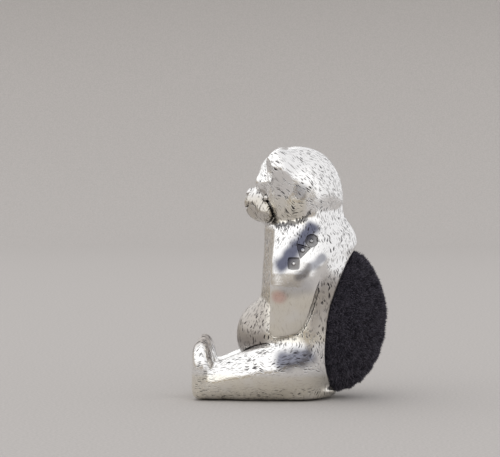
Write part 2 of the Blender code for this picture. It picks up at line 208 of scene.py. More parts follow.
def in_mark(shape, y, z):
    """Flat field of a plain punched mark, in the plane of the bear's side."""
    kind, size = shape
    if kind == "shield":
        y, z = (y + z) * math.sqrt(0.5), (z - y) * math.sqrt(0.5)
        return np.maximum(np.abs(y) * 0.87 + z * 0.5, -z) - 0.62 * size
    if kind == "lozenge":
        return np.maximum(np.abs(y), np.abs(z)) * 0.75 + np.hypot(y, z) * 0.25 - size
    return np.hypot(y, z) - size


MARK_DEPTH = 0.2
MARKS = (
    (("lozenge", 0.86), -0.7, 20.9),
    (("shield", 1.05), 0.6, 22.9),
    (("round", 0.92), 1.95, 24.25),
)


def marks(p):
    """How deep, from 0 to 1, the three punched marks on the left shoulder are at the points."""
    x, y, z = p
    sunk = np.zeros_like(x)
    for shape, at_y, at_z in MARKS:
        edge = in_mark(shape, y - at_y, z - at_z)
        pellet = np.hypot(y - at_y, z - at_z) - 0.3 * shape[1]
        sunk = np.maximum(sunk, smooth_step(0.5 - edge / 0.16) * smooth_step(0.5 + pellet / 0.2))
    return sunk * (x > 3)


def bear_forms(p):
    """The fields of the head, the trunk with its arms, and the legs."""
    q = halves(p)
    blend = smooth_step((q[2] - 16) / 7)
    upper = arm(q)
    body = trunk(q)
    grooved = seam(body, upper, 0.25, 0.14)
    melted = soft_min(body, upper, 2.6)
    body = grooved + (melted - grooved) * blend
    lower = soft_min(leg(q), foot(q), 0.5)
    return face(q), body, lower


def outer(p):
    """Field of the bear's outside."""
    head_form, body_form, leg_form = bear_forms(p)
    melt = smooth_step((p[1] + 5.0) / 3.5)
    d = seam(body_form, leg_form, 0.3, 0.16)
    d += (soft_min(body_form, leg_form, 2.4) - d) * melt
    d = soft_min(d, head_form, 0.35 + 2.0 * smooth_step((p[1] + 0.5) / 4))
    return soft_max(d + MARK_DEPTH * marks(p), -p[2], 0.8)


def hollow(p):
    """Field of the space in the bear, before the wall is taken off it."""
    q = halves(p)
    d = soft_min(trunk(q), leg(q), 0.7)
    d = soft_min(d, soft_min(skull(q), muzzle(q), 0.3), 0.7)
    return soft_max(d, -p[2], 0.5)


def oval(p, inset):
    """Field of the opening's oval, drawn in by inset."""
    width, height = OPENING_HALF_WIDTH - inset, OPENING_HALF_HEIGHT - inset
    q = np.hypot(p[0] / width, (p[2] - OPENING_LEVEL) / height)
    return (q - 1) * width


def silver_field(p):
    """Field of the silver: the outside less the hollow and the opening."""
    d = soft_max(outer(p), -(hollow(p) + WALL), 0.2)
    way_in = np.maximum(oval(p, 0.0), OPENING_START - p[1])
    d = soft_max(d, -way_in, 0.22)
    rise = p[2] - RIM_LEVEL
    rise = rise * np.where(rise < 0, RIM_RADIUS / RIM_DROP, 1.0)
    behind = RIM_RADIUS - np.hypot(p[1] - RIM_DEPTH - RIM_RADIUS, rise)
    return soft_max(d, behind, 0.35)


def dome(p, inset):
    """Field of the stuffed pad, full in its lower half, drawn in by inset."""
    low = ellipsoid(p, (0, 4.9, 11.7), (6.5, 7.65, 10.5))
    high = ellipsoid(p, (0, 4.9, 13.0), (6.4, 7.7, 10.0))
    d = soft_min(low, high, 0.5) + inset
    return soft_max(d, oval(p, LINING_GAP + inset), 0.6)


def cover_field(p):
    """Field of the velvet cover, with its edge turned in behind the silver rim."""
    d = soft_max(dome(p, 0.0), -dome(p, COVER_THICKNESS), 0.2)
    return soft_max(d, COVER_TUCK - p[1], 0.3)


def filling_field(p):
    """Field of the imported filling, in the dome and in the bear's hollow."""
    inside = hollow(p) + WALL + LINING_GAP
    under_cover = dome(p, COVER_THICKNESS + LINING_GAP)
    clear_of_cover = soft_max(inside, -(dome(p, -LINING_GAP)), 0.3)
    clear_of_cover = soft_max(clear_of_cover, p[1] - COVER_TUCK - 4.0, 0.3)
    d = soft_min(clear_of_cover, soft_max(under_cover, -p[1], 0.3), 0.3)
    lumps = 0.12 * np.sin(1.9 * p[0] + 0.6) * np.sin(1.7 * p[1] - 0.4) * np.sin(2.1 * p[2])
    return d + 0.12 + lumps


def axis_steps(low, high, cell, fine):
    """Grid places along one axis. fine lists (from, to, cell) where the cells are smaller."""
    places = [low]
    while places[-1] < high:
        here = places[-1]
        sizes = [size for start, end, size in fine if start <= here < end]
        places.append(here + min(sizes + [cell]))
    return np.array(places, np.float32)


def crossings(axes, values, inside):
    """For each cell that the surface passes, its index and the mean of its edge crossings."""
    nx, ny, nz = values.shape
    corners = [(i, j, k) for i in (0, 1) for j in (0, 1) for k in (0, 1)]
    total = sum(
        inside[i : nx - 1 + i, j : ny - 1 + j, k : nz - 1 + k].astype(np.int8) for i, j, k in corners
    )
    active = (total > 0) & (total < 8)
    number = -np.ones(active.shape, np.int64)
    cells = np.argwhere(active)
    number[active] = np.arange(len(cells))
    places, count = np.zeros((len(cells), 3)), np.zeros(len(cells))
    for corner in corners:
        for axis in (a for a in range(3) if not corner[a]):
            other = [c + (a == axis) for a, c in enumerate(corner)]
            here = values[tuple(cells[:, a] + corner[a] for a in range(3))]
            there = values[tuple(cells[:, a] + other[a] for a in range(3))]
            cross = (here < 0) != (there < 0)
            share = here[cross] / (here[cross] - there[cross])
            for a in range(3):
                low = axes[a][cells[cross, a] + corner[a]]
                after = np.minimum(cells[cross, a] + 1, len(axes[a]) - 1)
                step = axes[a][after] - axes[a][cells[cross, a]]
                places[cross, a] += low + (step * share if a == axis else 0)
            count[cross] += 1
    return number, places / count[:, None]


def surface_net(axes, field):
    """Vertices and outward quads of the surface where the field is zero."""
    values = field(np.meshgrid(*axes, indexing="ij"))
    inside = values < 0
    number, vertices = crossings(axes, values, inside)
    quads = []
    for axis, (u, w) in enumerate(((1, 2), (2, 0), (0, 1))):
        first, second = [slice(None)] * 3, [slice(None)] * 3
        first[axis], second[axis] = slice(0, -1), slice(1, None)
        a, b = inside[tuple(first)], inside[tuple(second)]
        edges = np.argwhere(a != b)
        starts_inside = a[tuple(edges.T)]
        ring = []
        for du, dw in ((1, 1), (0, 1), (0, 0), (1, 0)):
            cell = edges.copy()
            cell[:, u] -= du
            cell[:, w] -= dw
            ring.append(number[tuple(cell.T)])
        quad = np.stack(ring, 1)
        quad[~starts_inside] = quad[~starts_inside][:, ::-1]
        quads.append(quad)
    return vertices, np.concatenate(quads)


def at(field, points):
    """The field's values at a list of points."""
    return field([points[:, i].astype(np.float64) for i in range(3)])


def slope(field, points, reach=0.02):
    """The field's gradient at a list of points."""
    steps = np.eye(3) * reach
    return np.stack([(at(field, points + s) - at(field, points - s)) / (2 * reach) for s in steps], 1)


def unit(vectors):
    """The vectors at length 1."""
    return vectors / (np.linalg.norm(vectors, axis=1, keepdims=True) + 1e-12)


def settle(field, points, rounds=2, most=0.08):
    """Moves the points onto the surface, each by a small step."""
    for _ in range(rounds):
        g = slope(field, points)
        move = -at(field, points)[:, None] * g / (np.sum(g * g, axis=1, keepdims=True) + 1e-9)
        length = np.linalg.norm(move, axis=1, keepdims=True)
        points = points + move * np.minimum(1, most / (length + 1e-12))
    return points


def make_object(name, vertices, faces):
    """A mesh object from points in millimetres."""
    mesh = bpy.data.meshes.new(name)
    mesh.from_pydata((np.asarray(vertices) * MM).tolist(), [], np.asarray(faces).tolist())
    mesh.validate()
    piece = bpy.data.objects.new(name, mesh)
    bpy.context.scene.collection.objects.link(piece)
    return piece


def mesh_points(piece):
    """A mesh's vertices in millimetres."""
    flat = np.zeros(len(piece.data.vertices) * 3)
    piece.data.vertices.foreach_get("co", flat)
    return flat.reshape(-1, 3) / MM


def thin_out(piece, chosen, ratio):
    """Merges faces round the chosen vertices, where nothing fine is to be seen."""
    group = piece.vertex_groups.new(name="thin")
    group.add(np.flatnonzero(chosen).tolist(), 1.0, "REPLACE")
    modifier = piece.modifiers.new("thin", "DECIMATE")
    modifier.ratio = ratio
    modifier.vertex_group = "thin"
    modifier.use_collapse_triangulate = False
    with bpy.context.temp_override(object=piece, active_object=piece):
        bpy.ops.object.modifier_apply(modifier="thin")
    piece.vertex_groups.clear()


def smooth(piece, normals=None):
    """Shades a piece smooth, with the field's own normals where they are given."""
    piece.data.shade_smooth()
    if normals is not None:
        piece.data.normals_split_custom_set_from_vertices(normals.tolist())


def give_vectors(piece, name, values):
    """Stores a vector at each vertex."""
    layer = piece.data.attributes.new(name, "FLOAT_VECTOR", "POINT")
    layer.data.foreach_set("vector", np.asarray(values, np.float32).ravel())


# The fur's flow: a coordinate across the strokes and one along them, in millimetres
HEAD_CENTRE = (0.0, 0.0, 32.0)
CROWN_TILT = math.radians(40)
FUR_TURN = 6.5


def head_flow(points):
    """Strokes on the head run back from the forehead, like meridians."""
    q = points - np.array(HEAD_CENTRE)
    pole = np.array([0, -math.cos(CROWN_TILT), math.sin(CROWN_TILT)])
    side = np.array([0, math.sin(CROWN_TILT), math.cos(CROWN_TILT)])
    along = np.arccos(np.clip(unit(q) @ pole, -1, 1)) * FUR_TURN
    across = np.arctan2(np.abs(q[:, 0]), q @ side) * FUR_TURN
    return np.stack([across, along, np.sign(q[:, 0])], 1)


def trunk_flow(points):
    """Strokes on the trunk and arms run down, and outward over the shoulders."""
    x, y, z = points[:, 0], points[:, 1] - 0.5, points[:, 2]
    across = np.arctan2(np.abs(x), -y) * FUR_TURN
    return np.stack([across, 0.6 * np.hypot(x, y) - z, np.sign(x)], 1)


def leg_flow(points):
    """Strokes on the legs run forward to the feet."""
    x, z = np.abs(points[:, 0]) - 4.2, points[:, 2] - 3.0
    across = np.arctan2(x, z) * 3.6
    return np.stack([across, -points[:, 1], np.sign(points[:, 0])], 1)


def fur_shares(points):
    """How much of each flow a point takes: head, legs, and how deep the strokes are."""
    p = [points[:, i] for i in range(3)]
    head_form, body_form, leg_form = bear_forms(p)
    head_share = smooth_step(0.5 + (np.minimum(body_form, leg_form) - head_form) / 0.8)
    leg_share = smooth_step(0.5 + (body_form - leg_form) / 0.8) * (1 - head_share)
    x, y, z = q = halves(p)
    on_arm = smooth_step(0.5 + (trunk(q) - arm(q)) / 0.6)
    plain = on_arm * smooth_step((25 - z) / 3) * (1 - head_share) * (1 - leg_share)
    shin = leg_share * smooth_step((z - 1.4) / 1.0)
    shin = shin * smooth_step((4.9 - z) / 0.8) * smooth_step((y + 13.2) / 1.5)
    sole = smooth_step((-15.4 - y) / 0.5) * smooth_step((7.6 - z) / 0.8)
    ear_cup = smooth_step((0.5 - ear(q)) / 0.4) * (y < -4.2) * (z > 32.5)
    depth = (1 - 0.85 * plain) * (1 - 0.9 * sole) * (1 - 0.6 * ear_cup) * (1 - 0.8 * shin)
    return np.stack([head_share, leg_share, depth], 1)


# How far out from the surface a recess is felt for, at the small scale and the larger one
RECESS_REACHES = (0.35, 1.1)


def hidden_depth(points, normals):
    """How far each point lies in a recess, at a small and a larger scale, and in a punched mark."""
    out = []
    for reach in RECESS_REACHES:
        d = at(outer, points + normals * reach) / reach
        out.append(np.clip(1 - d, 0, 1))
    return np.stack(out + [at(marks, points)], 1)


# Painted bluish reflections: the two ends of each band as (y, z), its half width and its strength
REFLECTION_BANDS = (
    ((-2.6, 20.6), (1.9, 26.0), 1.05, 1.0),
    ((0.0, 18.8), (3.5, 21.7), 0.65, 0.68),
    ((-2.2, 6.4), (1.2, 7.0), 1.35, 0.9),
    ((0.2, 31.0), (0.3, 31.9), 0.8, 0.5),
    ((-1.6, 17.0), (0.9, 17.5), 1.2, 0.3),
)

# How far the front gets a painted dim reflection and a rougher finish: heights and the shares there, from
# the belly to the muzzle
DIM_FRONT_SHARES = ((6.5, 8.5, 14.5, 17.0, 26.0, 28.0, 30.6, 31.6), (0, 1, 0.85, 0.3, 0.3, 0.5, 0.5, 0))


def painted_reflection_shares(points, normals):
    """How strong the painted bluish reflections are, and how far the front and the flanks get a painted
    dim reflection and a rougher finish, from 0 to 1.
    """
    y, z = points[:, 1], points[:, 2]
    # Painted bluish reflection bands on the sides
    band_reflection = np.zeros(len(points))
    for start, end, width, strength in REFLECTION_BANDS:
        line = np.subtract(end, start)
        t = np.clip(((y - start[0]) * line[0] + (z - start[1]) * line[1]) / float(line @ line), 0, 1)
        away = np.hypot(y - start[0] - line[0] * t, z - start[1] - line[1] * t)
        away += 0.16 * np.sin(2.6 * y + 1.1 * z) * np.sin(2.1 * z - 0.9 * y)
        band_reflection = np.maximum(band_reflection, strength * smooth_step(1.35 - 0.85 * away / width))
    # The painted bluish reflection shows only where the surface faces sideways
    band_reflection = band_reflection * smooth_step(np.abs(normals[:, 0]) * 3 - 0.6) * (np.abs(points[:, 0]) > 3)
    # Painted dim reflection on the front and the flanks
    front_dimming = np.interp(z, *DIM_FRONT_SHARES)
    front = front_dimming * smooth_step((-3.6 - y) / 2.0) * smooth_step((6.4 - np.abs(points[:, 0])) / 1.0)
    q = halves([points[:, i] for i in range(3)])
    off_arm = smooth_step(0.5 + (arm(q) - trunk(q)) / 0.8)
    flank = off_arm * smooth_step((y - 0.6) / 1.6)
    flank = flank * smooth_step((20.5 - z) / 3.0) * smooth_step((z - 9.0) / 2.0)
    return np.stack([band_reflection, front, flank], 1)


# The painted shadow line under the jaw, at the sides of the neck: places along y and the heights there
JAW_LINE = ((-4.0, -2.5, -0.6, 0.6, 1.6, 2.6), (26.3, 26.5, 26.8, 27.3, 28.2, 29.3))


def reflections_and_jaw_shadow(points):
    """Where the silver gets a painted beige reflection low on each form, where it gets a painted rosy
    reflection, and the painted shadow line under the jaw.
    """
    y, z = points[:, 1], points[:, 2]
    # Painted beige reflection low on the legs, the arms and the head
    low = smooth_step((4.4 - z) / 0.8)
    low_arm = smooth_step((17.6 - z) / 1.5) * smooth_step((z - 8.5) / 1.0)
    low_head = smooth_step((31.2 - z) / 1.2) * smooth_step((z - 26.4) / 0.6)
    low_head = low_head * smooth_step((1.6 - y) / 1.0)
    # Painted rosy reflection on the arm
    rosy = smooth_step(1.5 - np.hypot((y + 2.9) / 1.1, (z - 15.9) / 0.9)) * (np.abs(points[:, 0]) > 6)
    # Painted shadow line under the jaw, with a ragged edge
    ragged = 0.2 * np.sin(7.0 * y + 2.6 * np.sin(2.3 * y) + 4.0 * z)
    below_jaw = np.abs(z - np.interp(y, *JAW_LINE)) + ragged
    along_jaw = smooth_step((y + 4.4) / 0.8) * smooth_step((2.4 - y) / 0.8)
    jaw = smooth_step(1.2 - below_jaw / 0.9) * along_jaw * (np.abs(points[:, 0]) > 3.0)
    return np.stack([np.maximum(np.maximum(low, low_arm), low_head), rosy, jaw], 1)


def silver_piece():
    """The silver bear with its fur flow and its recesses stored at the vertices."""
    axes = (
        axis_steps(-9.9, 9.9, SILVER_CELL, ()),
        axis_steps(-17.1, 9.4, SILVER_CELL, ((-8.8, -3.4, FACE_CELL), (-1.8, 3.1, MARK_CELL))),
        axis_steps(-0.4, 38.6, SILVER_CELL, ((26.4, 34.2, FACE_CELL), (19.8, 25.4, MARK_CELL))),
    )
    vertices, quads = surface_net(axes, silver_field)
    piece = make_object("silver_bear", settle(silver_field, vertices), quads)
    inner = at(outer, mesh_points(piece)) < -0.5 * WALL
    thin_out(piece, inner, INNER_KEPT)
    points = mesh_points(piece)
    normals = unit(slope(silver_field, points))
    smooth(piece, normals)
    give_vectors(piece, "head_flow", head_flow(points))
    give_vectors(piece, "trunk_flow", trunk_flow(points))
    give_vectors(piece, "leg_flow", leg_flow(points))
    give_vectors(piece, "fur_shares", fur_shares(points))
    # The recess depths drive the painted shade in the folds
    give_vectors(piece, "recess", hidden_depth(points, normals))
    # Painted reflections on the sides, the front and the flanks
    give_vectors(piece, "band_reflection", painted_reflection_shares(points, normals))
    # Painted beige and rosy reflections and the painted shadow under the jaw
    give_vectors(piece, "reflection_and_jaw", reflections_and_jaw_shadow(points))
    return piece


def cover_piece():
    """The velvet cover's cloth."""
    axes = (
        axis_steps(-7.4, 7.4, COVER_CELL, ()),
        axis_steps(-0.4, 13.9, COVER_CELL, ()),
        axis_steps(0.1, 24.0, COVER_CELL, ()),
    )
    vertices, quads = surface_net(axes, cover_field)
    piece = make_object("velvet_pad", settle(cover_field, vertices, 3), quads)
    smooth(piece, unit(slope(cover_field, mesh_points(piece))))
    return piece


def filling_piece():
    """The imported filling, which the silver and the velvet hide."""
    axes = (
        axis_steps(-8.6, 8.6, FILLING_CELL, ()),
        axis_steps(-14.5, 13.5, FILLING_CELL, ()),
        axis_steps(0.3, 37.8, FILLING_CELL, ()),
    )
    vertices, quads = surface_net(axes, filling_field)
    piece = make_object("sawdust_filling", vertices, quads)
    smooth(piece)
    return piece


PILE_COUNT = 26000
PILE_LENGTH = 0.6
PILE_WIDTH = 0.1
PILE_SUNK = 0.08
PILE_SCATTER = 0.3
PILE_LEAN = (0, 0.1, -0.18)


def pile_piece(cover):
    """The velvet's pile: a short pointed tuft at each of many places on the dome."""
    rng = np.random.default_rng(7)
    mesh = cover.data
    points = mesh_points(cover)
    mesh.calc_loop_triangles()
    corners = np.zeros(len(mesh.loop_triangles) * 3, np.int64)
    mesh.loop_triangles.foreach_get("vertices", corners)
    a, b, c = (points[corners.reshape(-1, 3)[:, i]] for i in range(3))
    centre = (a + b + c) / 3
    outside = (at(lambda p: dome(p, 0.0), centre) > -0.3 * COVER_THICKNESS) & (centre[:, 1] > 3.0)
    a, b, c = a[outside], b[outside], c[outside]
    area = np.linalg.norm(np.cross(b - a, c - a), axis=1)
    pick = rng.choice(len(a), PILE_COUNT, p=area / area.sum())
    u, v = rng.random((2, PILE_COUNT))
    flip = u + v > 1
    u[flip], v[flip] = 1 - u[flip], 1 - v[flip]
    root = a[pick] + (b[pick] - a[pick]) * u[:, None] + (c[pick] - a[pick]) * v[:, None]
    normal = unit(slope(lambda p: dome(p, 0.0), root))
    lean = rng.normal(0, PILE_SCATTER, (PILE_COUNT, 3)) + np.array(PILE_LEAN)
    direction = unit(normal + lean)
    clumps = np.sin(root @ (1.7, 1.3, 2.9)) * np.sin(root @ (2.3, -1.9, 1.6) + 1.0)
    length = PILE_LENGTH * rng.uniform(0.5, 1.1, PILE_COUNT) * (1.05 + 0.35 * clumps)
    width = PILE_WIDTH * rng.uniform(0.7, 1.3, PILE_COUNT)
    side = unit(np.cross(direction, rng.normal(size=(PILE_COUNT, 3))))
    other = np.cross(direction, side)
    sunk = root - direction * PILE_SUNK
    ring = [
        sunk + (side * math.cos(turn) + other * math.sin(turn)) * width[:, None]
        for turn in np.radians((0, 120, 240))
    ]
    tip = root + direction * length[:, None]
    vertices = np.stack(ring + [tip], 1).reshape(-1, 3)
    first = np.arange(PILE_COUNT)[:, None] * 4
    faces = np.concatenate([first + np.array(f) for f in ((0, 1, 3), (1, 2, 3), (2, 0, 3), (2, 1, 0))])
    piece = make_object("velvet_pile", vertices, faces)
    height = np.tile([0.0, 0.0, 0.0, 1.0], PILE_COUNT)
    shade = np.repeat(rng.random(PILE_COUNT), 4)
    give_vectors(piece, "tuft", np.stack([height, shade, shade], 1))
    return piece


class Tree:
    """Adds nodes to a material's or the world's tree, with their inputs and links in one call."""

    def __init__(self, owner):
        owner.use_nodes = True
        self.tree = owner.node_tree
        self.tree.nodes.clear()

    def add(self, kind, inputs=None, **settings):
        """One node. Each input is a value, or another node's output to link."""
        node = self.tree.nodes.new(kind)
        for name, value in settings.items():
            setattr(node, name, value)
        for name, value in (inputs or {}).items():
            if isinstance(value, bpy.types.NodeSocket):
                self.tree.links.new(value, node.inputs[name])
            else:
                node.inputs[name].default_value = value
        return node

    def math(self, operation, first, second=0.0, clamp=False):
        """The result of one sum."""
        node = self.add("ShaderNodeMath", {0: first, 1: second}, operation=operation, use_clamp=clamp)
        return node.outputs[0]

    def vector_math(self, operation, first, second):
        """The result of one sum with vectors."""
        return self.add("ShaderNodeVectorMath", {0: first, 1: second}, operation=operation).outputs[0]

    def noise(self, place, scale, detail):
        """Soft noise from 0 to 1, with a scale in features per millimetre."""
        inputs = {"Vector": place, "Scale": scale / MM, "Detail": detail}
        return self.add("ShaderNodeTexNoise", inputs).outputs["Fac"]

    def remap(self, value, low, high, to_low=0.0, to_high=1.0):
        """The value moved smoothly from one range to another."""
        names = ("Value", "From Min", "From Max", "To Min", "To Max")
        inputs = dict(zip(names, (value, low, high, to_low, to_high)))
        return self.add("ShaderNodeMapRange", inputs, interpolation_type="SMOOTHSTEP").outputs["Result"]

    def mix(self, share, first, second):
        """One colour mixed into another."""
        node = self.add("ShaderNodeMix", data_type="RGBA")
        sockets = {s.identifier: s for s in node.inputs}
        for name, value in (("Factor_Float", share), ("A_Color", first), ("B_Color", second)):
            if isinstance(value, bpy.types.NodeSocket):
                self.tree.links.new(value, sockets[name])
            else:
                sockets[name].default_value = value
        return next(s for s in node.outputs if s.identifier == "Result_Color")

    def vector(self, name):
        """The vector stored at the vertices under that name."""
        return self.add("ShaderNodeAttribute", attribute_name=name).outputs["Vector"]

    def parts(self, vector):
        """The three parts of a vector."""
        return self.add("ShaderNodeSeparateXYZ", {0: vector}).outputs


STROKE_ACROSS = 0.22
STROKE_ALONG = 1.05
STROKE_BEND = (1.6, 0.8, 0.0)
SILVER = (0.90, 0.89, 0.88, 1)
# After SILVER, in turn: a painted beige reflection, a painted rosy reflection, tarnish with painted
# shade, a painted bluish reflection and a painted dim reflection
TABLE_REFLECTION_SILVER = (0.86, 0.82, 0.73, 1)
ROSY_REFLECTION_SILVER = (0.76, 0.53, 0.47, 1)
TARNISH_AND_SHADE = (0.022, 0.018, 0.022, 1)
BAND_REFLECTION_COLOUR = (0.12, 0.125, 0.17, 1)
DIM_REFLECTION_COLOUR = (0.36, 0.325, 0.30, 1)


def strokes(nodes, flow, across, along, turn):
    """Short dashes along the flow: 1 in a stroke and 0 between strokes."""
    wave = nodes.add("ShaderNodeTexNoise", {"Vector": flow, "Scale": 0.5, "Detail": 1.0})
    bend = nodes.vector_math("SUBTRACT", wave.outputs["Color"], (0.5, 0.5, 0.5))
    bent = nodes.vector_math("ADD", flow, nodes.vector_math("MULTIPLY", bend, STROKE_BEND))
    inputs = {"Vector": bent, "Rotation": (0, 0, turn), "Scale": (1 / across, 1 / along, 3.0)}
    scaled = nodes.add("ShaderNodeMapping", inputs).outputs[0]
    inputs = {"Vector": scaled, "Scale": 1.0, "Randomness": 0.85}
    cells = nodes.add("ShaderNodeTexVoronoi", inputs)
    kept = nodes.remap(nodes.parts(cells.outputs["Color"])[0], 0.05, 0.3)
    dash = nodes.remap(cells.outputs["Distance"], 0.4, 0.24)
    return nodes.math("MULTIPLY", dash, kept)


def mixed_strokes(nodes, across, along, turn=0.0):
    """The strokes of the three flows, each in its own region."""
    share = nodes.parts(nodes.vector("fur_shares"))
    body = strokes(nodes, nodes.vector("trunk_flow"), across, along, turn)
    head = strokes(nodes, nodes.vector("head_flow"), across, along, turn)
    legs = strokes(nodes, nodes.vector("leg_flow"), across, along, turn)
    kept = nodes.math("SUBTRACT", 1.0, nodes.math("ADD", share[0], share[1]), clamp=True)
    total = nodes.math("MULTIPLY", body, kept)
    total = nodes.math("ADD", total, nodes.math("MULTIPLY", head, share[0]))
    total = nodes.math("ADD", total, nodes.math("MULTIPLY", legs, share[1]), clamp=True)
    return nodes.math("MULTIPLY", total, share[2])


def silver_material():
    """Polished silver with chased fur, dark in the strokes, with painted shade in the folds and under the
    jaw, and painted reflections.
    """
    material = bpy.data.materials.new("silver")
    nodes = Tree(material)
    coarse = mixed_strokes(nodes, STROKE_ACROSS, STROKE_ALONG)
    fine = mixed_strokes(nodes, 0.6 * STROKE_ACROSS, 0.7 * STROKE_ALONG, 0.25)
    line = nodes.math("MAXIMUM", coarse, nodes.math("MULTIPLY", fine, 0.6))
    place = nodes.add("ShaderNodeTexCoord").outputs["Object"]
    cloud = nodes.noise(place, 0.35, 3.0)
    reflection_and_jaw = nodes.parts(nodes.vector("reflection_and_jaw"))
    table_reflection = nodes.math("MULTIPLY", nodes.remap(cloud, 0.2, 0.6, 0.4, 1.0), reflection_and_jaw[0])
    line = nodes.math("MULTIPLY", line, nodes.remap(cloud, 0.35, 0.55, 0.5, 1.0))
    recess = nodes.parts(nodes.vector("recess"))
    painted_reflection = nodes.parts(nodes.vector("band_reflection"))
    # Painted shade in the folds and creases, from how deep each point lies in a recess
    ragged = nodes.math("ADD", recess[1], nodes.math("MULTIPLY", nodes.math("SUBTRACT", fine, 0.4), 0.5))
    fold = nodes.remap(ragged, 0.42, 0.85, 0.0, 0.93)
    dark = nodes.math("MAXIMUM", nodes.remap(recess[0], 0.5, 1.4), fold)
    texture = nodes.math("SUBTRACT", nodes.math("MAXIMUM", coarse, fine), 0.4)
    texture = nodes.math("MULTIPLY", texture, 0.8)
    # Painted shadow under the jaw, made ragged by the strokes
    under_jaw = nodes.math("ADD", nodes.math("MULTIPLY", reflection_and_jaw[2], 0.98), texture)
    dark = nodes.math("MAXIMUM", dark, nodes.remap(under_jaw, 0.35, 0.8, 0.0, 0.96))
    dark = nodes.math("MAXIMUM", dark, nodes.math("MULTIPLY", line, 0.95))
    dark = nodes.math("MAXIMUM", dark, nodes.math("MULTIPLY", recess[2], 0.7))
    # Painted dim reflection on the front and the flanks, which are also rougher
    dim_flank = nodes.math("MULTIPLY", painted_reflection[2], 0.75)
    dim_and_rough = nodes.math("MAXIMUM", nodes.math("MULTIPLY", painted_reflection[1], 0.9), dim_flank)
    # Painted beige and rosy reflections
    polished = nodes.mix(table_reflection, SILVER, TABLE_REFLECTION_SILVER)
    polished = nodes.mix(nodes.math("MULTIPLY", reflection_and_jaw[1], 0.85), polished, ROSY_REFLECTION_SILVER)
    polished = nodes.mix(dim_and_rough, polished, DIM_REFLECTION_COLOUR)
    # Painted bluish reflection bands
    polished = nodes.mix(painted_reflection[0], polished, BAND_REFLECTION_COLOUR)
    # The dark colour is tarnish in the strokes and the marks, and painted shade in the folds and under
    # the jaw
    colour = nodes.mix(dark, polished, TARNISH_AND_SHADE)
    rough = nodes.math("ADD", nodes.math("MULTIPLY", dark, 0.25), nodes.remap(cloud, 0.3, 0.8, 0.12, 0.2))
    rough = nodes.math("ADD", rough, nodes.math("MULTIPLY", dim_and_rough, 0.22))
    height = nodes.math("SUBTRACT", 1.0, line)
    bump = nodes.add("ShaderNodeBump", {"Height": height, "Strength": 0.7, "Distance": 0.06 * MM})
    inputs = {"Base Color": colour, "Metallic": 1.0, "Roughness": rough, "Normal": bump.outputs[0]}
    surface = nodes.add("ShaderNodeBsdfPrincipled", inputs)
    nodes.add("ShaderNodeOutputMaterial", {"Surface": surface.outputs[0]})
    return material


DARK_VELVET = (0.016, 0.015, 0.021, 1)
LIGHT_VELVET = (0.056, 0.052, 0.066, 1)
TUFT_TIP = (0.24, 0.225, 0.27, 1)
SHEEN_TINT = (0.75, 0.68, 0.9, 1)


def velvet_material(name, tip_lighter):
    """Dark purple-black velvet. The tufts are lighter at their tips."""
    material = bpy.data.materials.new(name)
    nodes = Tree(material)
    place = nodes.add("ShaderNodeTexCoord").outputs["Object"]
    nap = nodes.noise(place, 0.9, 4.0)
    colour = nodes.mix(nodes.remap(nap, 0.3, 0.7), DARK_VELVET, LIGHT_VELVET)
    inputs = {
        "Base Color": colour,
        "Roughness": 0.9,
        "Specular IOR Level": 0.1,
        "Sheen Weight": 0.25,
        "Sheen Roughness": 0.4,
        "Sheen Tint": SHEEN_TINT,
    }
    if tip_lighter:
        tuft = nodes.parts(nodes.vector("tuft"))
        light = nodes.math("MULTIPLY", nodes.math("POWER", tuft[0], 2.0), nodes.remap(tuft[1], 0.1, 1.0))
        inputs["Base Color"] = nodes.mix(light, colour, TUFT_TIP)
    else:
        weave = nodes.noise(place, 5.0, 2.0)
        bump = nodes.add("ShaderNodeBump", {"Height": weave, "Strength": 0.6, "Distance": 0.1 * MM})
        inputs["Normal"] = bump.outputs[0]
    surface = nodes.add("ShaderNodeBsdfPrincipled", inputs)
    nodes.add("ShaderNodeOutputMaterial", {"Surface": surface.outputs[0]})
    return material


DARK_SAWDUST = (0.36, 0.23, 0.12, 1)
PALE_SAWDUST = (0.66, 0.5, 0.31, 1)


def sawdust_material():
    """Pale packed sawdust."""
    material = bpy.data.materials.new("sawdust")
    nodes = Tree(material)
    place = nodes.add("ShaderNodeTexCoord").outputs["Object"]
    grain = nodes.noise(place, 2.2, 5.0)
    colour = nodes.mix(nodes.remap(grain, 0.35, 0.65), DARK_SAWDUST, PALE_SAWDUST)
    bump = nodes.add("ShaderNodeBump", {"Height": grain, "Strength": 0.8, "Distance": 0.2 * MM})
    inputs = {"Base Color": colour, "Roughness": 0.95, "Normal": bump.outputs[0]}
    surface = nodes.add("ShaderNodeBsdfPrincipled", inputs)
    nodes.add("ShaderNodeOutputMaterial", {"Surface": surface.outputs[0]})
    return material


def dress(piece, material, slot, *nodes):
    """Gives a piece its material, puts it on the body and lets it stand for nodes. The slot is not used.
    """
    piece.data.materials.clear()
    piece.data.materials.append(material)
    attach(piece, "root")
    if nodes:
        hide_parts(*nodes)


# The stage: a floor that curves up into a backdrop, in millimetres
STAGE_NEAR = 900
STAGE_WIDE_TO = -200
STAGE_FAR = -380
STAGE_CURVE = 140
STAGE_TOP = 150
STAGE_HALF_WIDTH = 1100
BACKDROP_HALF_WIDTH = 170
CURVE_STEPS = 24
SHADE_FROM = 45
SHADE_TO = 115
LOW_PAPER = (0.475, 0.45, 0.435, 1)
HIGH_PAPER = (0.41, 0.39, 0.375, 1)
PAPER_FLECK = (0.36, 0.345, 0.33, 1)


